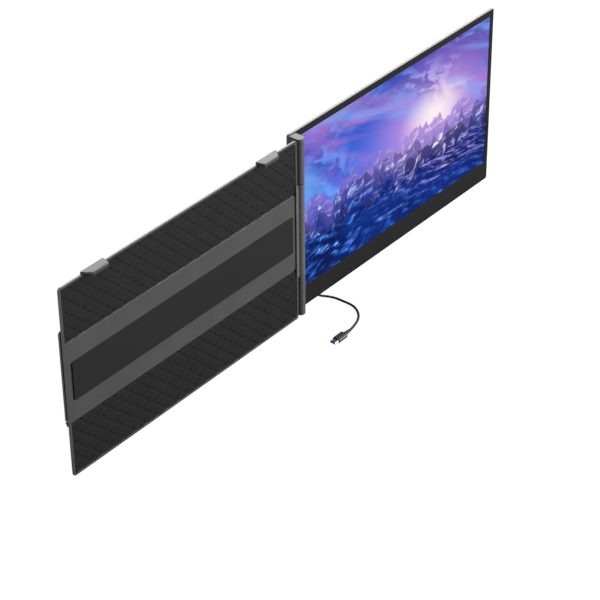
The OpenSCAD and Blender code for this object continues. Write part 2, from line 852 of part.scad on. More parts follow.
module electronics_housing() color("#202124") difference() {
    hull() {
        slab(mon_back_y, hump_y1 - hump_bevel)
            hump_outline(0);
        slab(hump_y1 - 0.1, hump_y1)
            hump_outline(hump_bevel);
    }
    // inside, with four bosses left standing at the screws
    slab(mon_back_y - 1, hump_y1 - hump_wall)
        difference() {
            box(hump_x0 + hump_wall, hump_z0 + hump_wall,
                hump_x1 - hump_wall, hump_z1 - hump_wall);
            for (p = housing_screws_xz)
                translate(p)
                    circle(r = 3.2, $fn = fine);
        }
    for (p = housing_screws_xz) {
        bar_y(p[0], p[1], mon_back_y - 1, hump_y1 + 1, 1);
        bar_y(p[0], p[1], hump_y1 - 1.6, hump_y1 + 1, 2.1);
    }
    // mouths of the sockets
    for (x = [port_x, port_x + port_pitch])
        socket_hole(x, 9.4, 3.6);
    socket_hole(hdmi_x, 11.6, 3.6);
    // holes of the keys
    for (i = [0 : 2])
        translate([key_x + i * key_pitch, key_y, hump_z0 - 1])
            cylinder(r = key_r + 0.2, h = hump_wall + 2, $fn = fine);
    // slots that let warm air out at the top
    for (i = [0 : 17])
        translate([hump_x0 + 24 + i * (hump_w - 48) / 18,
            mon_back_y + 3, hump_z1 - hump_wall - 1])
            cube([6, 2.4, hump_wall + 2]);
}

module socket_hole(x, w, t) {
    rise(hump_z0 - 1, hump_z0 + hump_wall + 1)
        translate([x, port_y])
            stadium(w, t);
}

// Long hole with round ends, length w along X, height t
module stadium(w, t) {
    square([w - t, t], center = true);
    for (s = [-1, 1])
        translate([s * (w - t) / 2, 0])
            circle(r = t / 2, $fn = fine);
}

module housing_screws() color("#55575a")
    for (p = housing_screws_xz) {
        bar_y(p[0], p[1], mon_back_y + 0.2, hump_y1 - 0.9, 1);
        bar_y(p[0], p[1], hump_y1 - 1.6, hump_y1 - 0.5, 2);
    }

board_z0 = hump_z0 + hump_wall + 0.5;
board_z1 = board_z0 + board_h;

module driver_board() color("#1f5a3a") {
    // board, cut back behind the keys
    slab(board_y, board_y + board_t)
        difference() {
            box(hump_x0 + board_in, board_z0, hump_x1 - board_in, board_z1);
            box(key_x - 5, board_z0 - 1, key_x + 2 * key_pitch + 5, switch_z);
        }
    // standoffs that carry it on the rear shell
    for (x = [hump_x0 + board_in + 8, hump_x1 - board_in - 8],
        z = [board_z0 + board_h * 0.2, board_z1 - board_h * 0.1])
        bar_y(x, z, mon_back_y, board_y, 2.2);
    // a few large parts on it, placed by shares of the board's size
    for (p = [[0.25, 0.5, 0.2], [0.45, 0.55, 0.3], [0.68, 0.45, 0.2]])
        translate([hump_x0 + p[0] * hump_w, board_y + board_t,
            board_z0 + p[1] * board_h])
            cube([p[2] * board_h, board_t * 1.6, p[2] * board_h]);
}

module socket(x, w, t, depth) difference() {
    rise(hump_z0 + hump_wall, hump_z0 + hump_wall + depth)
        translate([x, port_y])
            stadium(w, t);
    rise(hump_z0, hump_z0 + hump_wall + depth - 0.6)
        translate([x, port_y])
            stadium(w - 0.7, t - 0.7);
}

module usb_c_sockets() color("#b9bbbd")
    for (x = [port_x, port_x + port_pitch]) {
        socket(x, 9, 3.2, 7);
        rise(hump_z0 + hump_wall + 1.6, hump_z0 + hump_wall + 6.5)
            translate([x, port_y])
                square([6.2, 0.7], center = true);
    }

module mini_hdmi_socket() color("#b9bbbd") {
    socket(hdmi_x, 11.2, 3.2, 7);
    rise(hump_z0 + hump_wall + 1.6, hump_z0 + hump_wall + 6.5)
        translate([hdmi_x, port_y])
            square([8, 0.8], center = true);
}

module key(i) color("#2a2b2e")
    translate([key_x + i * key_pitch, key_y, 0]) {
        translate([0, 0, hump_z0 - key_proud])
            cylinder(r = key_r, h = key_top - hump_z0 + key_proud,
                $fn = fine);
        // collar that keeps the key in the housing
        translate([0, 0, hump_z0 + hump_wall + run])
            cylinder(r = key_r + 0.7, h = 0.7, $fn = fine);
    }

module power_key() key(0);
module menu_key() key(1);
module select_key() key(2);

// Switches that the keys press, standing on the board
module key_switches() color("#3c3d40")
    for (i = [0 : 2])
        translate([key_x + i * key_pitch - 3, board_y + board_t, switch_z])
            cube([6, key_y + 2 - board_y - board_t, 4]);

// ----------------------------------------------------------------- cable

// Eight points round point p of the route, square to direction d
function unit(v) = v / norm(v);
function ring(p, d) =
    let (u = unit(d), a = unit(cross(u, [0.1, 0.2, 1])), b = cross(u, a))
    [for (i = [0 : 7])
        p + cable_r * (cos(45 * i) * a + sin(45 * i) * b)];

// Smooth curve through the points of the route
steps = 4;
function pt(i) = route[max(0, min(len(route) - 1, i))];
function curve_at(i, t) = 0.5 * (2 * pt(i) + (pt(i + 1) - pt(i - 1)) * t
    + (2 * pt(i - 1) - 5 * pt(i) + 4 * pt(i + 1) - pt(i + 2)) * t * t
    + (3 * pt(i) - 3 * pt(i + 1) + pt(i + 2) - pt(i - 1)) * t * t * t);
curve = [
    for (i = [0 : len(route) - 2], k = [0 : steps - 1])
        curve_at(i, k / steps),
    route[len(route) - 1]
];
function heading(i) = i == 0 ? [0, 0, -1]
    : i == len(curve) - 1 ? [-1, 0, 0]
    : curve[i + 1] - curve[i - 1];

module cable() color("#1a1a1b")
    translate(route_start) {
        n = len(curve);
        polyhedron(
            points = [for (i = [0 : n - 1]) each ring(curve[i], heading(i))],
            faces = concat(
                [[for (k = [7 : -1 : 0]) k]],
                [for (i = [0 : n - 2], k = [0 : 7])
                    [8 * i + k, 8 * i + (k + 1) % 8,
                        8 * i + 8 + (k + 1) % 8, 8 * i + 8 + k]],
                [[for (k = [0 : 7]) 8 * (n - 1) + k]]
            )
        );
    }

// Tapered sleeve that starts at the cable and widens to the plug
module relief()
    cylinder(r1 = cable_r + 0.4, r2 = 0.45 * plug_t, h = relief_l,
        $fn = fine);

module cable_relief_monitor() color("#202022")
    translate(route_start)
        relief();

module cable_relief_laptop() color("#202022")
    translate(route_end)
        rotate([0, -90, 0])
            relief();

module cable_plug_monitor() color("#4a4b4e")
    rise(plug_z0, plug_z1)
        translate([port_x, port_y])
            stadium(plug_w, plug_t);

module cable_plug_laptop() color("#4a4b4e")
    translate([relief_x - plug_l, route_end[1], route_end[2]])
        rotate([90, 0, 90])
            linear_extrude(height = plug_l)
                stadium(plug_w, plug_t);

// Metal shell of a plug, pointing up from z = 0
module tip() difference() {
    rise(0, tip_l)
        stadium(8.2, 2.4);
    rise(0.6, tip_l + 1)
        stadium(7.6, 1.8);
}

module plug_shells() color("#b9bbbd") {
    translate([port_x, port_y, plug_z1])
        tip();
    translate([relief_x - plug_l, route_end[1], route_end[2]])
        rotate([0, -90, 0])
            rotate([0, 0, 90])
                tip();
}

back_tray();
rear_cover();
lid_pad();
upper_grip_panel();
lower_grip_panel();
hinge_bracket();
hinge_trim_strip();
upper_hinge_shaft();
lower_hinge_shaft();
friction_washers();
leaf_rivets();
cover_screws();
stand_rail();
stand_pin();
clip_stop_pins();
stand_panel();
stand_feet();
left_clip_tongue();
left_clip_hook();
left_clip_grip();
right_clip_tongue();
right_clip_hook();
right_clip_grip();
bezel_frame();
chin_strip();
display_panel();
backlight_unit();
rear_shell();
electronics_housing();
driver_board();
usb_c_sockets();
mini_hdmi_socket();
key_switches();
shell_screws();
housing_screws();
upper_arm();
lower_arm();
arm_spine();
arm_gasket();
upper_arm_cap();
lower_arm_cap();
hinge_bushings();
power_key();
menu_key();
select_key();
cable();
cable_relief_monitor();
cable_plug_monitor();
cable_relief_laptop();
cable_plug_laptop();
plug_shells();
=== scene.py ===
"""Dresses a laptop screen extender: a back plate that hangs on a laptop's lid and carries a
portable monitor on a vertical hinge.  Laid out as an add-on and run as a script."""
import json
import math

import bmesh
import bpy
from bpy.props import FloatProperty, FloatVectorProperty, IntProperty, PointerProperty
from mathutils import Matrix, Vector
from mathutils.geometry import interpolate_bezier


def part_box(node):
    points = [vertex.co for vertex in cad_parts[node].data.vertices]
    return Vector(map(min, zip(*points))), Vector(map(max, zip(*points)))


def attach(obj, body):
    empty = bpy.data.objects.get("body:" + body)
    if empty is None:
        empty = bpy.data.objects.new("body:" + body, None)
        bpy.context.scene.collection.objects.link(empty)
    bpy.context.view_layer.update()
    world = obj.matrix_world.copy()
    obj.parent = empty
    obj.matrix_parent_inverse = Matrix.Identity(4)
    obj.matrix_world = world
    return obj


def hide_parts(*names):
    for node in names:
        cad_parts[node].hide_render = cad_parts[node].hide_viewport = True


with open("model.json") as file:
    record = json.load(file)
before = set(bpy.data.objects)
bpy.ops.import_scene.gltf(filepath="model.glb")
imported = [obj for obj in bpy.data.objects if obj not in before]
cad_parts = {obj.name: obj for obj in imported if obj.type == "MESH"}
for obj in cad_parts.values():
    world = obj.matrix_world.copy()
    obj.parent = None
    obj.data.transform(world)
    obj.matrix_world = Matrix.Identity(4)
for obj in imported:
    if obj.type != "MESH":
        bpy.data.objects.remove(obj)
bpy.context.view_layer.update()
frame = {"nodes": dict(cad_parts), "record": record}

bl_info = {
    "name": "Laptop Screen Extender",
    "version": (1, 0, 0),
    "blender": (4, 5, 0),
    "location": "3D View > Sidebar > Extender",
    "description": "Builds the finished pieces of a laptop screen extender on its packed frame",
    "category": "Object",
}

MM = 0.001
NODES = frame["nodes"]
BODY_OF = {n: b for b, ns in frame["record"]["behaviour"]["bodies"].items() for n in ns}
SLOT_OF = {s["node"]: s["material_slot"] for s in frame["record"]["subparts"]}

# textured panels
SHEET = 0.4 * MM  # thickness of the panel under its diamonds
CORNER = 5.0 * MM  # cut off the panel's corner for the tray's gusset
COLUMNS, ROWS = 23, 5
# screws of the rear cover: the inner columns stand at 0.32 of the plate's half width of 196 mm,
# here as a share of the outer columns, which stand at 185 mm
INNER_COLUMNS = 0.32 * 196.0 / 185.0
# display
UNLIT_EDGE = 2.4 * MM  # border that shows no picture
# mesh
DOUBLES = 2e-6  # points nearer than this are one
LARGE_FLAT = 4e-5  # a face above this area keeps its shading flat, in square metres
CREASE = math.radians(32.0)  # edges sharper than this stay sharp or get a bevel
# stage
FLOOR_WHITE = 0.97  # with the light on the cloth, this renders white


# ------------------------------------------------------------------ settings

def millimetres(name, description, default, low=0.0, high=10.0):
    """A length that the user sees in the scene's unit, given here in millimetres."""
    return FloatProperty(name=name, description=description, default=default * MM,
                         min=low * MM, max=high * MM, subtype="DISTANCE", unit="LENGTH",
                         precision=5)


def colour(name, description, default):
    """A colour that the user may change."""
    return FloatVectorProperty(name=name, description=description, default=default,
                               min=0.0, max=1.0, size=3, subtype="COLOR")


def share(name, description, default, low=0.0, high=1.0):
    """A factor that the user sets with a slider."""
    return FloatProperty(name=name, description=description, default=default,
                         min=low, max=high, subtype="FACTOR")


class ExtenderFinish(bpy.types.PropertyGroup):
    """Colours and edge size of the metal and plastic pieces"""
    plate: colour("Plate", "Anodised metal of the back plate", (0.150, 0.150, 0.151))
    hinge: colour("Hinge", "Anodised metal of the hinge and the caps", (0.150, 0.149, 0.146))
    arm: colour("Arm", "Anodised metal of the monitor's arm", (0.120, 0.119, 0.116))
    clip: colour("Clip", "Moulded top of the lid clips", (0.065, 0.065, 0.065))
    shell: colour("Shell", "Plastic of the rear shell and the housing", (0.05, 0.05, 0.0525))
    bezel: colour("Bezel", "Plastic of the monitor's front frame", (0.0020, 0.0020, 0.0020))
    chin: colour("Chin", "Strip below the picture", (0.0120, 0.0120, 0.0120))
    rubber: colour("Rubber", "Pads, feet and grips", (0.008, 0.008, 0.0085))
    edge: millimetres("Edge radius", "Radius of the largest broken edges", 0.35, 0.05, 1.0)


class ExtenderPanels(bpy.types.PropertyGroup):
    """Raised diamonds of the textured panels"""
    diagonal: millimetres("Diagonal", "Diagonal of a diamond", 12.6, 6, 20)
    pitch_x: millimetres("Pitch across", "From diamond to diamond across the plate", 17.75, 10, 30)
    pitch_z: millimetres("Pitch up", "From diamond to diamond up the plate", 17.4, 10, 30)
    slope: millimetres("Slope", "Width of a diamond's sloping sides", 0.7, 0.1, 2)
    first: millimetres("First row", "Height of the first row at the rim", 68.4, 50, 90)
    tint: colour("Colour", "Colour of the textured panels", (0.0125, 0.0125, 0.013))


class ExtenderPicture(bpy.types.PropertyGroup):
    """The picture that the monitor shows"""
    level: FloatProperty(name="Brightness", description="Brightness of the picture", default=1.0,
                         min=0.0, max=5.0)
    night: colour("Sky", "Top of the sky", (0.025, 0.075, 0.50))
    glow: colour("Glow", "Light on the horizon", (0.72, 0.36, 0.82))
    land: colour("Land", "Shadows of the foreground", (0.003, 0.010, 0.085))


class ExtenderCable(bpy.types.PropertyGroup):
    """The cable between the monitor and the laptop"""
    diameter: millimetres("Diameter", "Outer diameter of the cable", 3.0, 2, 5)
    jacket: colour("Jacket", "Soft jacket of the cable", (0.006, 0.006, 0.0062))
    grip: colour("Plug grip", "Moulded grip of the plugs", (0.058, 0.058, 0.059))
    ribs: IntProperty(name="Ribs", description="Ribs of a strain relief", default=5, min=2, max=10)


class ExtenderStage(bpy.types.PropertyGroup):
    """Floor, lamps and camera"""
    floor: FloatProperty(name="Floor", description="Height of the floor", default=-0.134,
                         subtype="DISTANCE", unit="LENGTH")
    key: FloatProperty(name="Key lamp", description="Power of the lamp in front on the right",
                       default=125.0, min=0.0, unit="POWER")
    top: FloatProperty(name="Top lamp", description="Power of the lamp overhead", default=14.0,
                       min=0.0, unit="POWER")
    back: FloatProperty(name="Back lamp", description="Power of the lamp behind on the right",
                        default=60.0, min=0.0, unit="POWER")
    ambient: share("Ambient", "Strength of the light from the sky", 0.38, 0.0, 2.0)
    cloth: share("Floor tone", "How much light the floor throws back", 0.05)
    sheen: share("Floor sheen", "How bright reflections find the floor behind", 1.0, 0.0, 3.0)
    side: share("Side sheen", "The same for the floor on the left, as a share of it", 0.65)
    lens: FloatProperty(name="Lens", description="Focal length for a 36 mm sensor",
                        default=132.74, min=10.0, unit="CAMERA")


GROUPS = {
    "extender_finish": ExtenderFinish,
    "extender_panels": ExtenderPanels,
    "extender_picture": ExtenderPicture,
    "extender_cable": ExtenderCable,
    "extender_stage": ExtenderStage,
}


# --------------------------------------------------------------- node helpers

def feed(tree, socket, value):
    """Links an input to a node's result, or sets it to a plain value."""
    if isinstance(value, Number):
        value = value.socket
    if isinstance(value, bpy.types.NodeSocket):
        tree.links.new(value, socket)
    else:
        socket.default_value = value


def add(tree, kind, ins=None, **props):
    """Adds a node, sets its properties, then feeds its inputs by name or number."""
    n = tree.nodes.new(kind)
    for key, value in props.items():
        setattr(n, key, value)
    for key, value in (ins or {}).items():
        feed(tree, n.inputs[key], value)
    return n


def calc(tree, operation, a, b=0.0):
    """A Math node's result."""
    n = add(tree, "ShaderNodeMath", {0: a, 1: b}, operation=operation)
    return Number(tree, n.outputs[0])


class Number:
    """A node's result that can be reckoned with; each sign adds a Math node."""

    def __init__(self, tree, socket):
        self.tree, self.socket = tree, socket

    def __add__(self, other):
        return calc(self.tree, "ADD", self, other)

    def __sub__(self, other):
        return calc(self.tree, "SUBTRACT", self, other)

    def __rsub__(self, other):
        return calc(self.tree, "SUBTRACT", other, self)

    def __mul__(self, other):
        return calc(self.tree, "MULTIPLY", self, other)

    def __truediv__(self, other):
        return calc(self.tree, "DIVIDE", self, other)

    def __rtruediv__(self, other):
        return calc(self.tree, "DIVIDE", other, self)

    def __abs__(self):
        return calc(self.tree, "ABSOLUTE", self)

    __radd__, __rmul__ = __add__, __mul__


def vector(tree, x=0.0, y=0.0, z=0.0):
    """A vector from three numbers or results."""
    return add(tree, "ShaderNodeCombineXYZ", {0: x, 1: y, 2: z}).outputs[0]


def soft(tree, value, low, high, start=0.0, end=1.0):
    """Goes smoothly from start to end while value goes from low to high."""
    n = add(tree, "ShaderNodeMapRange", {0: value, 1: low, 2: high, 3: start, 4: end},
            interpolation_type="SMOOTHSTEP")
    return Number(tree, n.outputs[0])


def mix(tree, factor, a, b):
    """A colour mixed from a to b by factor."""
    n = add(tree, "ShaderNodeMix", {"Factor": factor}, data_type="RGBA")
    for index, value in ((6, a), (7, b)):
        feed(tree, n.inputs[index], (*value, 1.0) if isinstance(value, tuple) else value)
    return n.outputs[2]


def ramp(tree, factor, stops):
    """A colour ramp; stops are (place, colour or grey)."""
    n = add(tree, "ShaderNodeValToRGB", {"Fac": factor})
    elements = n.color_ramp.elements
    while len(elements) < len(stops):
        elements.new(0.5)
    for element, (place, value) in zip(elements, stops):
        element.position = place
        element.color = (*(value if isinstance(value, tuple) else (value,) * 3), 1.0)
    return n.outputs[0]


def new_material(name):
    """A material with only its output and a Principled shader; returns the material, its tree
    and the shader."""
    m = bpy.data.materials.new(name)
    m.use_nodes = True
    tree = m.node_tree
    tree.nodes.clear()
    out = tree.nodes.new("ShaderNodeOutputMaterial")
    shader = tree.nodes.new("ShaderNodeBsdfPrincipled")
    tree.links.new(shader.outputs[0], out.inputs[0])
    return m, tree, shader


def grain(tree, coordinates, size, height, shader):
    """Fine bump of a surface; size is the width of a grain in metres."""
    noise = add(tree, "ShaderNodeTexNoise", {"Vector": coordinates, "Scale": 1.0 / size,
                                             "Detail": 2.0, "Roughness": 0.55})
    bump = add(tree, "ShaderNodeBump", {"Height": noise.outputs[0], "Strength": height,
                                        "Distance": size})
    tree.links.new(bump.outputs[0], shader.inputs["Normal"])


def surface(name, tint, metallic, rough, grain_size, grain_height, drift=0.06, specular=0.5,
            stretch=(1.0, 1.0, 1.0), ior=1.5):
    """A solid finish: slightly uneven colour, uneven gloss and a fine grain.

    drift is how far the colour and the gloss wander; stretch draws the grain out, as brushing
    does."""
    m, tree, shader = new_material(name)
    place = add(tree, "ShaderNodeTexCoord").outputs["Object"]
    broad = add(tree, "ShaderNodeTexNoise", {"Vector": place, "Scale": 34.0, "Detail": 3.0})
    low = tuple(c * (1.0 - drift) for c in tint)
    high = tuple(min(1.0, c * (1.0 + drift)) for c in tint)
    base = ramp(tree, broad.outputs[0], [(0.3, low), (0.7, high)])
    gloss = ramp(tree, broad.outputs[0], [(0.25, rough * (1.0 - 0.5 * drift)),
                                          (0.75, min(1.0, rough * (1.0 + 0.5 * drift)))])
    for socket, value in (("Base Color", base), ("Roughness", gloss), ("Metallic", metallic),
                          ("Specular IOR Level", specular), ("IOR", ior)):
        feed(tree, shader.inputs[socket], value)
    drawn = add(tree, "ShaderNodeMapping", {"Vector": place, "Scale": stretch}).outputs[0]
    grain(tree, drawn, grain_size, grain_height, shader)
    return m


def finishes():
    """Makes the finishes once, from the settings, and returns them by slot."""
    made = bpy.context.scene.get("extender_finishes")
    if made:
        return {slot: bpy.data.materials[name] for slot, name in made.items()}
    f = bpy.context.scene.extender_finish
    c = bpy.context.scene.extender_cable
    p = bpy.context.scene.extender_panels
    # name, colour, metallic, roughness, width of a grain in metres and height of the grain
    kinds = {
        "frame_metal": surface("anodised_plate", f.plate, 0.5, 0.40, 0.00022, 0.10),
        "cover_plastic": surface("moulded_cover", (0.019, 0.0195, 0.0215), 0.0, 0.52, 0.0005,
                                 0.22),
        "grip_texture": surface("textured_panel", p.tint, 0.0, 0.50, 0.0004, 0.20, specular=0.4),
        "soft_rubber": surface("soft_rubber", f.rubber, 0.0, 0.72, 0.0006, 0.25, specular=0.35),
        "hinge_metal": surface("anodised_hinge", f.hinge, 0.0, 0.42, 0.00022, 0.10, specular=0.35),
        "arm_metal": surface("anodised_arm", f.arm, 0.0, 0.42, 0.00022, 0.10),
        "clip_metal": surface("clip_top", f.clip, 0.0, 0.42, 0.0003, 0.12, specular=0.55),
        "steel": surface("brushed_steel", (0.50, 0.50, 0.51), 1.0, 0.30, 0.0003, 0.25,
                         stretch=(0.06, 1.0, 1.0)),
        "brass": surface("turned_brass", (0.60, 0.43, 0.19), 1.0, 0.28, 0.0004, 0.15,
                         stretch=(1.0, 1.0, 6.0)),
        "bezel_plastic": surface("bezel_plastic", f.bezel, 0.0, 0.38, 0.0003, 0.08, ior=1.8),
        "chin_plastic": surface("chin_strip", f.chin, 0.0, 0.55, 0.0003, 0.12, specular=0.25),
        "backlight": surface("backlight_tray", (0.60, 0.60, 0.61), 1.0, 0.35, 0.0005, 0.1),
        "shell_plastic": surface("shell_plastic", f.shell, 0.0, 0.40, 0.00045, 0.14, ior=2.1),
        "washer_polymer": surface("washer_polymer", (0.008, 0.008, 0.0085), 0.0, 0.5, 0.0003, 0.1),
        "board": surface("board_green", (0.012, 0.075, 0.035), 0.0, 0.38, 0.0008, 0.15, drift=0.3),
        "cable_jacket": surface("cable_jacket", c.jacket, 0.0, 0.46, 0.0005, 0.12),
        "plug_grip": surface("plug_grip", c.grip, 0.15, 0.40, 0.0004, 0.12),
        "key_plastic": surface("key_plastic", (0.03, 0.03, 0.032), 0.0, 0.40, 0.0003, 0.1),
    }
    kinds["display_glass"] = picture_material()
    bpy.context.scene["extender_finishes"] = {slot: m.name for slot, m in kinds.items()}
    return kinds


# --------------------------------------------------------------- mesh helpers

def paint(obj, material):
    """Gives an object one material."""
    obj.data.materials.clear()
    obj.data.materials.append(material)


def place_piece(obj, body, slot, *nodes):
    """Gives a finished piece its body and hides the CAD nodes that it stands for; the slot is not
    used.
    """
    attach(obj, body)
    if nodes:
        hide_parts(*nodes)
    return obj


def object_from(name, bm, material):
    """A new object at the origin from a bmesh, shaded smooth with its sharp edges kept.

    A large flat keeps its own shading up to its border, also where a shallow curve meets it."""
    for e in bm.edges:
        angle = e.calc_face_angle(0.0) if e.is_manifold else math.pi
        flat = max((face.calc_area() for face in e.link_faces), default=0.0) > LARGE_FLAT
        e.smooth = angle < (math.radians(2.0) if flat else CREASE)
    for face in bm.faces:
        face.smooth = True
    mesh = bpy.data.meshes.new(name)
    bm.to_mesh(mesh)
    bm.free()
    obj = bpy.data.objects.new(name, mesh)
    bpy.context.scene.collection.objects.link(obj)
    paint(obj, material)
    return obj


def merged(node):
    """A copy of a CAD node's mesh with its loose triangles joined and its flats made whole."""
    bm = bmesh.new()
    bm.from_mesh(NODES[node].data)
    bmesh.ops.remove_doubles(bm, verts=bm.verts, dist=DOUBLES)
    bmesh.ops.dissolve_limit(bm, angle_limit=math.radians(0.6), verts=bm.verts, edges=bm.edges)
    return bm


def broken_edges(node, name, width, segments=2):
    """A node's own solid with small round edges, which stands for the node."""
    slot = SLOT_OF[node]
    obj = object_from(name, merged(node), finishes()[slot])
    bevel = obj.modifiers.new("edges", "BEVEL")
    bevel.width = width
    bevel.segments = segments
    bevel.limit_method = "ANGLE"
    bevel.angle_limit = CREASE
    bevel.harden_normals = True
    return place_piece(obj, BODY_OF[node], slot, node)


def finish_nodes(*nodes):
    """CAD nodes that show as they are, with their finish."""
    for n in nodes:
        paint(NODES[n], finishes()[SLOT_OF[n]])


def lathe(name, profile, origin, axis, material, steps=40):
    """A turned piece: profile is (distance along the axis, radius), closed at both ends."""
    bm = bmesh.new()
    turn = Vector((0, 0, 1)).rotation_difference(Vector(axis)).to_matrix()
    rings = []
    for along, radius in profile:
        ring = []
        for i in range(steps):
            a = 2 * math.pi * i / steps
            point = turn @ Vector((radius * math.cos(a), radius * math.sin(a), along))
            ring.append(bm.verts.new(Vector(origin) + point))
        rings.append(ring)
    for low, high in zip(rings, rings[1:]):
        for i in range(steps):
            j = (i + 1) % steps
            bm.faces.new((low[i], low[j], high[j], high[i]))
    bm.faces.new(list(reversed(rings[0])))
    bm.faces.new(rings[-1])
    return object_from(name, bm, material)


# ------------------------------------------------------------- geometry nodes

def new_group(name, inputs):
    """A Geometry Nodes group from its inputs' names and defaults; returns the group, its
    inputs as numbers by name, and its output node."""
    kinds = {float: "NodeSocketFloat", int: "NodeSocketInt", tuple: "NodeSocketVector"}
    group = bpy.data.node_groups.new(name, "GeometryNodeTree")
    for label, default in inputs.items():
        socket = group.interface.new_socket(label, in_out="INPUT",
                                            socket_type=kinds[type(default)])
        socket.default_value = default
    group.interface.new_socket("Geometry", in_out="OUTPUT", socket_type="NodeSocketGeometry")
    given = {o.name: Number(group, o) for o in add(group, "NodeGroupInput").outputs}
    return group, given, add(group, "NodeGroupOutput")


def end_group(group, out, geometry, material):
    """Ends a group in Realize Instances and Set Material."""
    real = add(group, "GeometryNodeRealizeInstances", {"Geometry": geometry}).outputs[0]
    dressed = add(group, "GeometryNodeSetMaterial", {"Geometry": real, "Material": material})
    group.links.new(dressed.outputs[0], out.inputs["Geometry"])


def bake(name, group, values):
    """Runs a group with these input values and returns its result as one plain mesh object."""
    mesh = bpy.data.meshes.new(name + "_seed")
    seed = bpy.data.objects.new(name + "_seed", mesh)
    bpy.context.scene.collection.objects.link(seed)
    modifier = seed.modifiers.new("make", "NODES")
    modifier.node_group = group
    for item in group.interface.items_tree:
        if item.in_out == "INPUT":
            modifier[item.identifier] = values[item.name]
    seed.update_tag()
    bpy.context.view_layer.update()
    evaluated = seed.evaluated_get(bpy.context.evaluated_depsgraph_get())
    result = bpy.data.meshes.new_from_object(evaluated)
    result.name = name
    seed.modifiers.remove(modifier)
    bpy.data.objects.remove(seed)
    bpy.data.meshes.remove(mesh)
    obj = bpy.data.objects.new(name, result)
    bpy.context.scene.collection.objects.link(obj)
    return obj


def moved(group, geometry, place=(0.0, 0.0, 0.0), turn=(0.0, 0.0, 0.0)):
    """Geometry turned by these degrees, then moved."""
    return add(group, "GeometryNodeTransform", {
        "Geometry": geometry, "Translation": place,
        "Rotation": tuple(math.radians(angle) for angle in turn)}).outputs[0]


def cube(group, x, y, z):
    """A block of this size round the origin."""
    return add(group, "GeometryNodeMeshCube", {"Size": vector(group, x, y, z)}).outputs[0]


def cuboid(group, low, high):
    """A block between two corners."""
    size = [b - a for a, b in zip(low, high)]
    middle = [(b + a) * 0.5 for a, b in zip(low, high)]
    return moved(group, cube(group, *size), vector(group, *middle))


def cone(group, sides, bottom, top, height):
    """A cone without its tip, standing on the origin."""
    return add(group, "GeometryNodeMeshCone", {
        "Vertices": sides, "Radius Top": top, "Radius Bottom": bottom,
        "Depth": height}).outputs[0]


def points(group, width, height, columns, rows):
    """A flat grid of points round the origin."""
    return add(group, "GeometryNodeMeshGrid", {
        "Size X": width, "Size Y": height, "Vertices X": columns,
        "Vertices Y": rows}).outputs[0]


def on_points(group, places, piece):
    """Instances of a piece at points."""
    return add(group, "GeometryNodeInstanceOnPoints",
               {"Points": places, "Instance": piece}).outputs[0]


def joined(group, *parts):
    """Parts as one geometry."""
    n = add(group, "GeometryNodeJoinGeometry")
    for part in parts:
        group.links.new(part, n.inputs[0])
    return n.outputs[0]


def boolean(group, operation, body, cutter):
    """Body without cutter, or what both share."""
    n = add(group, "GeometryNodeMeshBoolean", operation=operation, solver="EXACT")
    first = "Mesh 1" if operation == "DIFFERENCE" else "Mesh 2"
    group.links.new(body, n.inputs[first])
    group.links.new(cutter, n.inputs["Mesh 2"])
    return n.outputs[0]


def diamond_group(material, sizes):
    """Sheet with sloping-sided diamonds in staggered rows, cut off at its edges.

    It is drawn lying in X and Y with the diamonds up, then stood up to face -Y."""
    group, s, out = new_group("diamond_panel", sizes)
    radius = s["Diagonal"] * 0.5
    diamond = cone(group, 4, radius, radius - s["Slope"], s["Relief"])
    width = (s["Columns"] - 1.0) * s["Pitch X"]
    height = (s["Rows"] - 1.0) * s["Pitch Z"]
    sunk = s["Sheet"] - 0.02 * MM  # the diamonds start a little inside the sheet
    sets = []
    for shift in (0.0, 0.5):
        x = s["Left"] + s["Pitch X"] * shift + width * 0.5
        z = s["First"] + s["Pitch Z"] * (shift - 1.0) + height * 0.5
        places = moved(group, points(group, width, height, s["Columns"], s["Rows"]),
                       vector(group, x, z, sunk))
        sets.append(on_points(group, places, diamond))
    diamonds = add(group, "GeometryNodeRealizeInstances",
                   {"Geometry": joined(group, *sets)}).outputs[0]
    left, right, bottom, top = (s[side] for side in ("Left", "Right", "Bottom", "Top"))
    # deeper and higher than the diamonds, so only the panel's borders cut them
    border = cuboid(group, (left, bottom, -0.001), (right, top, 0.01))
    raised = boolean(group, "INTERSECT", diamonds, border)
    sheet = cuboid(group, (left, bottom, 0.0), (right, top, s["Sheet"]))
    # the corner at the hinge is cut off for the tray's gusset
    side = s["Corner"] * math.sqrt(2.0)
    cutter = moved(group, cube(group, side, side, 0.02), vector(group, right, top),
                   (0.0, 0.0, 45.0))
    flat = joined(group, boolean(group, "DIFFERENCE", sheet, cutter),
                  boolean(group, "DIFFERENCE", raised, cutter))
    upright = moved(group, flat, turn=(90.0, 0.0, 0.0))
    end_group(group, out, moved(group, upright, vector(group, y=s["Back"])), material)
    return group


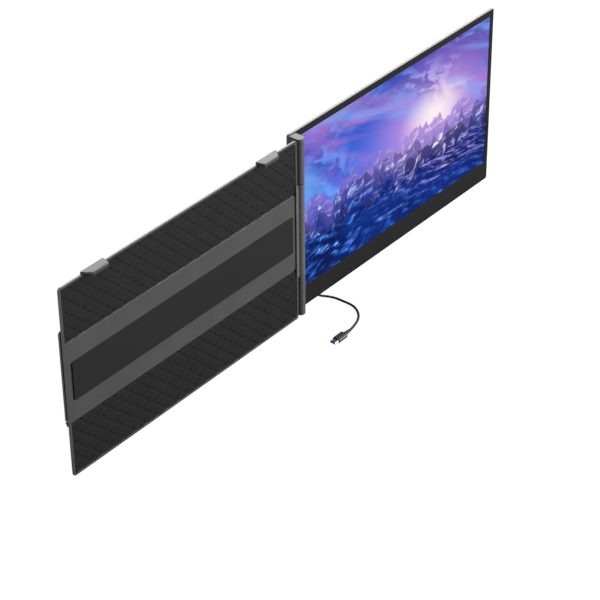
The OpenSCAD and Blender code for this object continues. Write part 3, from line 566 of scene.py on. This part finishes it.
def screw_group(material):
    """Grid of screws with a cross recess in the head and a shank, heads facing +Y."""
    group, s, out = new_group("screw_rows", {
        "Width": 0.1, "Height": 0.1, "Columns": 2, "Rows": 2, "Centre": (0.0, 0.0, 0.0),
        "Head radius": 1.6 * MM, "Head": 0.8 * MM, "Shank radius": 0.8 * MM,
        "Shank": 2.6 * MM})
    radius, shank_radius = s["Head radius"], s["Shank radius"]
    head = cone(group, 28, radius, radius * 0.9, s["Head"])
    long, thin, deep = radius * 1.15, radius * 0.24, s["Head"] * 1.1
    for x, y in ((long, thin), (thin, long)):
        bar = moved(group, cube(group, x, y, deep), vector(group, z=s["Head"]))
        head = boolean(group, "DIFFERENCE", head, bar)
    shank = moved(group, cone(group, 16, shank_radius * 0.8, shank_radius, s["Shank"]),
                  vector(group, z=s["Shank"] * -1.0))
    screw = moved(group, joined(group, head, shank), turn=(-90.0, 0.0, 0.0))
    upright = moved(group, points(group, s["Width"], s["Height"], s["Columns"], s["Rows"]),
                    turn=(90.0, 0.0, 0.0))
    places = moved(group, upright, s["Centre"])
    end_group(group, out, on_points(group, places, screw), material)
    return group


# -------------------------------------------------------------- the operators

class EXTENDER_OT_stage(bpy.types.Operator):
    """Make the floor, the lamps, the world and the camera"""
    bl_idname = "extender.stage"
    bl_label = "Stage"

    def execute(self, context):
        s = context.scene.extender_stage
        self.camera(context, s)
        self.world(context, s)
        self.floor(context, s)
        self.lamps(context, s)
        return {"FINISHED"}

    def camera(self, context, s):
        """Looks down on the part from the front left."""
        data = bpy.data.cameras.new("camera")
        data.lens = s.lens
        data.sensor_width = 36.0
        data.clip_end = 50.0
        camera = bpy.data.objects.new("camera", data)
        context.scene.collection.objects.link(camera)
        right = Vector((0.630581, -0.776076, -0.008553))
        up = Vector((0.441255, 0.349421, 0.826558))
        back = Vector((-0.638483, -0.524987, 0.562786))
        turn = Matrix((right, up, back)).transposed().to_4x4()
        turn.translation = Vector((-1.507954, -1.402153, 1.404871))
        camera.matrix_world = turn
        context.scene.camera = camera
        context.scene.view_settings.view_transform = "Standard"

    def world(self, context, s):
        """White to the eye and to reflections; lights mostly from above and the right."""
        world = bpy.data.worlds.new("room")
        world.use_nodes = True
        context.scene.world = world
        tree = world.node_tree
        tree.nodes.clear()
        way = add(tree, "ShaderNodeTexCoord").outputs["Generated"]
        side = add(tree, "ShaderNodeVectorMath", {0: way, 1: (0.42, 0.22, 0.88)},
                   operation="DOT_PRODUCT").outputs["Value"]
        level = soft(tree, side, -0.5, 1.0, 0.06, 1.3)
        light = add(tree, "ShaderNodeBackground", {
            "Color": (0.98, 0.99, 1.0, 1.0), "Strength": level * s.ambient})
        white = add(tree, "ShaderNodeBackground", {"Color": (1, 1, 1, 1), "Strength": 1.0})
        path = add(tree, "ShaderNodeLightPath").outputs
        seen = calc(tree, "MAXIMUM", path["Is Camera Ray"],
                    calc(tree, "MAXIMUM", path["Is Glossy Ray"], path["Is Transmission Ray"]))
        both = add(tree, "ShaderNodeMixShader", {0: seen, 1: light.outputs[0],
                                                 2: white.outputs[0]})
        out = add(tree, "ShaderNodeOutputWorld")
        tree.links.new(both.outputs[0], out.inputs[0])

    def floor(self, context, s):
        """White to the eye; reflections find it dark in front, white behind, pale beside."""
        m = bpy.data.materials.new("pale_floor")
        m.use_nodes = True
        tree = m.node_tree
        tree.nodes.clear()
        path = add(tree, "ShaderNodeLightPath").outputs
        cloth = add(tree, "ShaderNodeBsdfDiffuse", {"Color": (s.cloth, s.cloth, s.cloth, 1.0)})
        x, y, _ = add(tree, "ShaderNodeSeparateXYZ", {
            0: add(tree, "ShaderNodeTexCoord").outputs["Object"]}).outputs

        def area(x0, x1, y0, y1):
            """A part of the floor with soft borders, 0 at x0 or y0 and 1 past x1 and y1."""
            return soft(tree, x, x0, x1) * soft(tree, y, y0, y1)

        behind = area(-0.25, 0.0, 0.14, 0.30)
        beside = area(-0.19, -0.25, -0.02, 0.04)
        shine = (behind + beside * s.side) * s.sheen * Number(tree, path["Is Glossy Ray"])
        seen = calc(tree, "MAXIMUM", path["Is Camera Ray"], path["Is Transmission Ray"])
        lift = add(tree, "ShaderNodeEmission", {
            "Color": (1, 1, 1, 1), "Strength": shine + seen * FLOOR_WHITE})
        both = add(tree, "ShaderNodeAddShader", {0: cloth.outputs[0], 1: lift.outputs[0]})
        out = add(tree, "ShaderNodeOutputMaterial")
        tree.links.new(both.outputs[0], out.inputs[0])
        half = 6.0
        mesh = bpy.data.meshes.new("floor")
        mesh.from_pydata([(-half, -half, s.floor), (half, -half, s.floor),
                          (half, half, s.floor), (-half, half, s.floor)], [], [(0, 1, 2, 3)])
        floor = bpy.data.objects.new("floor", mesh)
        context.scene.collection.objects.link(floor)
        paint(floor, m)

    def lamps(self, context, s):
        """Soft boxes in front on the right, overhead and behind on the right."""
        aim = Vector((0.2, 0.0, 0.0))
        for name, power, size, place in (
            ("key", s.key, 1.6, (1.9, -2.6, 0.95)),
            ("top", s.top, 2.2, (0.5, 0.1, 2.6)),
            ("back", s.back, 2.0, (2.1, 1.6, 1.7)),
        ):
            data = bpy.data.lights.new(name, "AREA")
            data.energy = power
            data.size = size
            lamp = bpy.data.objects.new(name, data)
            context.scene.collection.objects.link(lamp)
            lamp.location = place
            way = aim - Vector(place)
            lamp.rotation_euler = way.to_track_quat("-Z", "Y").to_euler()


class EXTENDER_OT_back_plate(bpy.types.Operator):
    """Finish the back plate: tray, rear cover and lid pad"""
    bl_idname = "extender.back_plate"
    bl_label = "Back Plate"

    def execute(self, context):
        f = context.scene.extender_finish
        broken_edges("back_tray", "tray_with_rim", 0.7 * f.edge)
        broken_edges("rear_cover", "rear_cover_moulding", 0.6 * f.edge)
        broken_edges("lid_pad", "lid_pad_rubber", f.edge)
        return {"FINISHED"}


class EXTENDER_OT_grip_panels(bpy.types.Operator):
    """Make the two textured panels with their raised diamonds"""
    bl_idname = "extender.grip_panels"
    bl_label = "Textured Panels"

    def execute(self, context):
        p = context.scene.extender_panels
        low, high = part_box("upper_grip_panel")
        sizes = {
            "Left": low.x, "Right": high.x, "Bottom": low.z, "Top": high.z, "Back": high.y,
            "Sheet": SHEET, "Relief": high.y - low.y - SHEET, "Diagonal": p.diagonal,
            "Slope": p.slope, "Pitch X": p.pitch_x, "Pitch Z": p.pitch_z, "First": p.first,
            "Corner": CORNER, "Columns": COLUMNS, "Rows": ROWS,
        }
        group = diamond_group(finishes()["grip_texture"], sizes)
        upper = bake("upper_diamond_panel", group, sizes)
        lower = upper.copy()
        lower.data = upper.data.copy()
        lower.name = "lower_diamond_panel"
        context.scene.collection.objects.link(lower)
        # the lower panel is the upper one turned over, so its faces are turned back
        lower.data.transform(Matrix.Scale(-1, 4, (0, 0, 1)))
        lower.data.flip_normals()
        for obj, node in ((upper, "upper_grip_panel"), (lower, "lower_grip_panel")):
            place_piece(obj, "frame", "grip_texture", node)
        return {"FINISHED"}


class EXTENDER_OT_hinge(bpy.types.Operator):
    """Finish the hinge: knuckle, trim, arms, caps, shafts and washers"""
    bl_idname = "extender.hinge"
    bl_label = "Hinge"

    def execute(self, context):
        f = context.scene.extender_finish
        for node in ("hinge_bracket", "hinge_trim_strip", "upper_arm", "lower_arm",
                     "arm_spine", "upper_arm_cap"):
            broken_edges(node, node + "_finished", f.edge)
        broken_edges("lower_arm_cap", "lower_arm_cap_finished", 0.5 * f.edge)
        finish_nodes("upper_hinge_shaft", "lower_hinge_shaft", "friction_washers",
                     "leaf_rivets", "arm_gasket", "hinge_bushings")
        return {"FINISHED"}


class EXTENDER_OT_lid_clips(bpy.types.Operator):
    """Finish the two lid clips with their tongues and rubber grips"""
    bl_idname = "extender.lid_clips"
    bl_label = "Lid Clips"

    def execute(self, context):
        f = context.scene.extender_finish
        for side in ("left", "right"):
            broken_edges(side + "_clip_hook", side + "_clip_moulding", 0.8 * f.edge)
            broken_edges(side + "_clip_tongue", side + "_clip_steel", 0.15 * MM)
            broken_edges(side + "_clip_grip", side + "_clip_rubber", 0.2 * MM)
        finish_nodes("clip_stop_pins")
        return {"FINISHED"}


class EXTENDER_OT_stand(bpy.types.Operator):
    """Finish the fold-out stand and its hinge"""
    bl_idname = "extender.stand"
    bl_label = "Stand"

    def execute(self, context):
        f = context.scene.extender_finish
        broken_edges("stand_panel", "stand_plate", f.edge)
        broken_edges("stand_rail", "stand_hinge_rail", 0.6 * f.edge)
        broken_edges("stand_feet", "stand_rubber_feet", 0.6 * f.edge)
        finish_nodes("stand_pin")
        return {"FINISHED"}


class EXTENDER_OT_monitor(bpy.types.Operator):
    """Finish the monitor's case and its picture"""
    bl_idname = "extender.monitor"
    bl_label = "Monitor"

    def execute(self, context):
        f = context.scene.extender_finish
        broken_edges("bezel_frame", "front_frame", 0.8 * f.edge)
        broken_edges("chin_strip", "chin_strip_finished", 0.2 * MM)
        broken_edges("rear_shell", "rear_shell_moulding", 0.7 * f.edge)
        finish_nodes("display_panel", "backlight_unit")
        return {"FINISHED"}


class EXTENDER_OT_electronics(bpy.types.Operator):
    """Finish the electronics housing with its sockets and keys"""
    bl_idname = "extender.electronics"
    bl_label = "Electronics Housing"

    def execute(self, context):
        f = context.scene.extender_finish
        broken_edges("electronics_housing", "housing_moulding", 0.7 * f.edge)
        finish_nodes("driver_board", "usb_c_sockets", "mini_hdmi_socket", "key_switches")
        for key in ("power_key", "menu_key", "select_key"):
            broken_edges(key, key + "_cap", f.edge)
        return {"FINISHED"}


class EXTENDER_OT_screws(bpy.types.Operator):
    """Make the screws of the rear cover, the rear shell and the housing"""
    bl_idname = "extender.screws"
    bl_label = "Screws"

    def execute(self, context):
        group = screw_group(finishes()["steel"])
        self.rows(group, "cover_screws", "frame", 1.6 * MM, 0.8 * MM, 0.8 * MM, 2.6 * MM,
                  [(1.0, 2), (INNER_COLUMNS, 2)])
        self.rows(group, "shell_screws", "monitor", 1.4 * MM, 0.7 * MM, 0.7 * MM, 2.2 * MM,
                  [(1.0, 5)])
        self.rows(group, "housing_screws", "monitor", 2.0 * MM, 1.1 * MM, 1.0 * MM, 6.2 * MM,
                  [(1.0, 2)])
        return {"FINISHED"}

    def rows(self, group, node, body, radius, head, shank_radius, shank, sets):
        """Grids of screws that stand for one node; sets are (share of the width, columns)."""
        low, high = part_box(node)
        width = high.x - low.x - 2 * radius
        height = high.z - low.z - 2 * radius
        centre = ((low.x + high.x) / 2, high.y - head, (low.z + high.z) / 2)
        for i, (part, columns) in enumerate(sets):
            made = bake(f"{node}_set_{i}", group, {
                "Width": width * part, "Height": height, "Columns": columns, "Rows": 2,
                "Centre": centre, "Head radius": radius, "Head": head,
                "Shank radius": shank_radius, "Shank": shank})
            place_piece(made, body, "steel", node)


class EXTENDER_OT_cable(bpy.types.Operator):
    """Make the cable with its strain reliefs and plugs"""
    bl_idname = "extender.cable"
    bl_label = "Cable"

    def execute(self, context):
        c = context.scene.extender_cable
        start = Vector((256.0, 23.05, -89.6)) * MM
        route = [start + Vector(p) * MM for p in (
            (0, 0, 0), (0, 2.95, -11.4), (0, 7.95, -22.9), (0.3, 9.15, -32.4),
            (1.3, 4.25, -39.8), (3.3, -4.25, -42.6), (7.4, -12.65, -42.8),
            (10.5, -22.25, -42.8), (11.3, -36.65, -42.8), (10.8, -48.65, -42.8),
            (6.6, -59.05, -42.8), (-1, -67.85, -42.8), (-8.7, -72.95, -42.8),
            (-16.7, -76.05, -42.8), (-23.8, -77.95, -42.6), (-29.1, -79.55, -41.9),
            (-34.4, -80.8, -41.2))]
        line = self.curve(context, route, c.diameter)
        reliefs = [
            place_piece(self.relief("strain_relief_monitor", route[0], (0, 0, 1), c),
                        "monitor", "cable_jacket", "cable_relief_monitor"),
            place_piece(self.relief("strain_relief_laptop", route[-1], (-1, 0, 0), c),
                        "monitor", "cable_jacket", "cable_relief_laptop"),
        ]
        plugs = [broken_edges("cable_plug_monitor", "plug_grip_monitor", 1.0 * MM, 3),
                 broken_edges("cable_plug_laptop", "plug_grip_laptop", 1.0 * MM, 3)]
        finish_nodes("plug_shells")
        place_piece(line, "monitor", "cable_jacket", "cable")
        self.length(route)
        return {"FINISHED"}

    def tangents(self, route):
        """Direction of the smooth curve at each point of the route."""
        last = len(route) - 1
        return [(route[min(i + 1, last)] - route[max(i - 1, 0)]) / 2 for i in range(last + 1)]

    def length(self, route):
        """Length of the smooth curve through the route."""
        ways = self.tangents(route)
        total = 0.0
        for a, b, u, v in zip(route, route[1:], ways, ways[1:]):
            line = interpolate_bezier(a, a + u / 3, b - v / 3, b, 33)
            total += sum((q - p).length for p, q in zip(line, line[1:]))
        return total

    def curve(self, context, route, diameter):
        """The cable as one smooth curve with round ends."""
        data = bpy.data.curves.new("usb_cable", "CURVE")
        data.dimensions = "3D"
        data.resolution_u = 10
        data.bevel_depth = diameter / 2
        data.bevel_resolution = 5
        data.use_fill_caps = True
        spline = data.splines.new("BEZIER")
        spline.bezier_points.add(len(route) - 1)
        for point, place, way in zip(spline.bezier_points, route, self.tangents(route)):
            point.handle_left_type = point.handle_right_type = "FREE"
            point.co = place
            point.handle_left = place - way / 3
            point.handle_right = place + way / 3
        data.materials.append(finishes()["cable_jacket"])
        line = bpy.data.objects.new("usb_cable", data)
        context.scene.collection.objects.link(line)
        return line

    def relief(self, name, start, way, c):
        """Tapered sleeve with rings, thin end at the cable."""
        length, thin, thick, groove = 11.0 * MM, c.diameter / 2 + 0.4 * MM, 2.85 * MM, 0.28 * MM
        profile = [(0.0, thin - 0.3 * MM), (0.15 * MM, thin)]
        steps = 2 * c.ribs
        for i in range(1, steps):
            along = i / steps
            radius = thin + (thick - thin) * along ** 1.3 - (groove if i % 2 else 0.0)
            profile += [(length * (along - 0.02), radius), (length * (along + 0.02), radius)]
        profile += [(length - 0.2 * MM, thick), (length, thick - 0.2 * MM)]
        return lathe(name, profile, start, way, finishes()["cable_jacket"])


# ---------------------------------------------------------------- the picture

class Canvas:
    """The lit part of the display: u and v run over it from 0 to 1, and wide is u at the
    scale of v."""

    def __init__(self, tree):
        self.tree = tree
        place = add(tree, "ShaderNodeTexCoord").outputs["Object"]
        x, _, z = [Number(tree, o) for o in
                   add(tree, "ShaderNodeSeparateXYZ", {0: place}).outputs]
        low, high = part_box("display_panel")
        width, height = high.x - low.x - 2 * UNLIT_EDGE, high.z - low.z - 2 * UNLIT_EDGE
        self.aspect = width / height
        self.u = (x - (low.x + UNLIT_EDGE)) / width
        self.v = (z - (low.z + UNLIT_EDGE)) / height
        self.wide = self.u * self.aspect

    def soft(self, value, low, high):
        """0 at low and 1 at high."""
        return soft(self.tree, value, low, high)

    def over(self, factor, under, tint):
        """A colour with a tint laid over it, as strongly as factor says."""
        return mix(self.tree, factor, under, tint)

    def cloud(self, x, y, shift, scale, detail, rough=0.6, distortion=0.0):
        """Noise between 0 and 1 at a point of the picture."""
        n = add(self.tree, "ShaderNodeTexNoise", {
            "Vector": vector(self.tree, x, y, shift), "Scale": scale, "Detail": detail,
            "Roughness": rough, "Distortion": distortion})
        return Number(self.tree, n.outputs[0])

    def along(self, scale, shift, detail):
        """Noise between 0 and 1 that changes only across the picture."""
        n = add(self.tree, "ShaderNodeTexNoise", {
            "W": self.wide * scale + shift, "Detail": detail, "Roughness": 0.5},
            noise_dimensions="1D")
        return Number(self.tree, n.outputs[0])

    def slopes(self, x, y, shift, scale, step, rough, distortion):
        """Side light on sharp crests: low in shade, high in the light."""
        here, there = (
            1.0 - abs(self.cloud(x + move, y + 0.7 * move, shift, scale, 7.0, rough,
                                 distortion) - 0.5) * 5.0
            for move in (0.0, step))
        return (here - there) * 0.9 + 0.45


def painted_sky(c, p):
    """Blue on the left, violet in the upper right and a bright opening low on the right.

    Returns the colour and how strongly the opening lights each point."""
    sky = ramp(c.tree, c.v, [(0.25, (0.09, 0.16, 0.80)), (0.60, (0.045, 0.14, 0.72)),
                             (1.0, tuple(p.night))])
    violet = c.soft(c.u, 0.25, 1.0) * c.soft(c.v, 0.45, 1.0)
    sky = c.over(violet * 0.8, sky, (0.11, 0.045, 0.38))
    dx, dy = (c.u - 0.70) * (c.aspect * 0.62), c.v - 0.58
    far = calc(c.tree, "SQRT", dx * dx + dy * dy)
    glow = c.soft(far, 0.52, 0.0)
    sky = c.over(glow * 0.8, sky, tuple(p.glow))
    # broad soft bands of pink and pale blue
    for shift, tint in ((5.0, (0.52, 0.20, 0.62)), (11.0, (0.20, 0.46, 0.98))):
        band = c.cloud(c.wide * 0.45 - c.v * 0.35, c.v * 1.9 + c.wide * 0.7, shift, 1.7, 5.0,
                       0.55, 0.5)
        sky = c.over(c.soft(band, 0.47, 0.66) * 0.6, sky, tint)
    # puffs of cloud with a lit side
    bend = c.cloud(c.wide, c.v, 2.0, 1.6, 3.0) * 0.9
    x, y = c.wide + bend, c.v * 2.1 + c.wide * 0.45
    body, side = (c.cloud(x + step, y + step, 0.0, 2.0, 9.0, 0.58, 0.35)
                  for step in (0.0, 0.05))
    light = c.soft(body - side, -0.035, 0.055)
    dusk = c.over(c.soft(c.u, 0.2, 0.9), (0.03, 0.07, 0.42), (0.12, 0.04, 0.32))
    bright = c.over(glow, (0.16, 0.34, 0.95), (0.98, 0.62, 0.80))
    sky = c.over(c.soft(body, 0.46, 0.66) * 0.65, sky, c.over(light, dusk, bright))
    return c.over(c.soft(far, 0.24, 0.0), sky, (1.0, 0.86, 0.90)), glow


def painted_ridges(c, behind, glow):
    """Three snowy ridges across the picture, hazier the further away they are."""
    for base, rise, scale, shift, haze, shade, face in (
        (0.50, 0.17, 0.85, 3.1, 0.75, (0.10, 0.10, 0.52), (0.42, 0.42, 0.98)),
        (0.41, 0.20, 0.66, 8.9, 0.42, (0.014, 0.035, 0.27), (0.26, 0.38, 0.95)),
        (0.32, 0.20, 0.55, 14.2, 0.15, (0.005, 0.016, 0.14), (0.14, 0.30, 0.92)),
    ):
        peaks = 1.0 - abs(c.along(scale, shift, 2.0) - 0.5) * 3.4
        line = peaks + (c.along(5.0 * scale, shift, 7.0) - 0.5) * 0.20
        down = line * rise + (base - 0.6 * rise) - c.v
        rock = c.slopes(c.wide + down, c.v, shift, 5.0, 0.024, 0.62, 0.10)
        lit = c.over(glow, face, (1.0, 0.76, 0.88))
        tone = c.over(c.soft(rock, 0.42, 0.95), shade, lit)
        snow = c.soft(rock, 0.66, 1.1) * c.soft(down, 0.24, 0.02)
        tone = c.over(snow * 0.9, tone, (0.97, 0.92, 1.0))
        mist = glow * 0.6 + c.soft(down, 0.14, 0.0) * 0.2
        tone = c.over(mist * haze, tone, (0.72, 0.45, 0.86))
        behind = c.over(c.soft(down, -0.002, 0.003), behind, tone)
    return behind


def painted_ground(c, p, behind):
    """Rugged ground in front that comes nearer towards the bottom."""
    near = 0.5 / (0.62 - c.v)
    x, y = (c.wide - 0.9) * near, near * 1.6
    rock = c.slopes(x, y, 21.0, 2.1, 0.040, 0.62, 0.25)
    warm = c.soft(c.u, 0.30, 0.75) * c.soft(c.v, 0.0, 0.28)
    lit = c.over(warm, (0.045, 0.22, 0.95), (0.60, 0.42, 0.98))
    tone = c.over(c.soft(rock, 0.38, 0.92), tuple(p.land), lit)
    tone = c.over(c.soft(rock, 0.68, 1.10) * 0.9, tone, (0.80, 0.90, 1.0))
    patches = c.soft(c.cloud(x, y, 27.0, 0.9, 4.0), 0.40, 0.60)
    tone = c.over(patches * 0.4, tone, (0.004, 0.045, 0.40))
    border = (c.along(1.4, 31.0, 2.0) - 0.5) * 0.30 + 0.28
    return c.over(c.soft(border - c.v, -0.035, 0.03), behind, tone)


def picture_material():
    """A lit evening sky over hazy ridges and rugged ground, all from noise."""
    p = bpy.context.scene.extender_picture
    m, tree, shader = new_material("lit_picture")
    c = Canvas(tree)
    sky, glow = painted_sky(c, p)
    picture = painted_ground(c, p, painted_ridges(c, sky, glow))
    inside = 1.0
    for value in (c.u, c.v):
        inside = (calc(tree, "GREATER_THAN", value, 0.0) * calc(tree, "LESS_THAN", value, 1.0)
                  * inside)
    for socket, value in (
        ("Emission Color", mix(tree, inside, (0.0, 0.0, 0.0), picture)),
        ("Emission Strength", p.level), ("Base Color", (0.002, 0.002, 0.003, 1.0)),
        ("Roughness", 0.3), ("Specular IOR Level", 0.04),
    ):
        feed(tree, shader.inputs[socket], value)
    return m


# ------------------------------------------------------------------ the panel

OPERATORS = (
    EXTENDER_OT_stage, EXTENDER_OT_cable, EXTENDER_OT_back_plate, EXTENDER_OT_grip_panels,
    EXTENDER_OT_hinge, EXTENDER_OT_lid_clips, EXTENDER_OT_stand, EXTENDER_OT_monitor,
    EXTENDER_OT_electronics, EXTENDER_OT_screws,
)


class EXTENDER_PT_panel(bpy.types.Panel):
    """Lists the pieces and their settings"""
    bl_idname = "EXTENDER_PT_panel"
    bl_label = "Laptop Screen Extender"
    bl_space_type = "VIEW_3D"
    bl_region_type = "UI"
    bl_category = "Extender"

    def draw(self, context):
        for name, group in GROUPS.items():
            box = self.layout.box()
            box.label(text=group.__doc__)
            for prop in group.__annotations__:
                box.prop(getattr(context.scene, name), prop)
        for operator in OPERATORS:
            self.layout.operator(operator.bl_idname)


CLASSES = (*GROUPS.values(), *OPERATORS, EXTENDER_PT_panel)


def register():
    for cls in CLASSES:
        bpy.utils.register_class(cls)
    for name, group in GROUPS.items():
        setattr(bpy.types.Scene, name, PointerProperty(type=group))


def unregister():
    for name in GROUPS:
        delattr(bpy.types.Scene, name)
    for cls in reversed(CLASSES):
        bpy.utils.unregister_class(cls)


def main():
    """Registers the add-on and makes every piece."""
    register()
    for operator in OPERATORS:
        area, name = operator.bl_idname.split(".")
        getattr(getattr(bpy.ops, area), name)()


if __name__ == "__main__":
    main()
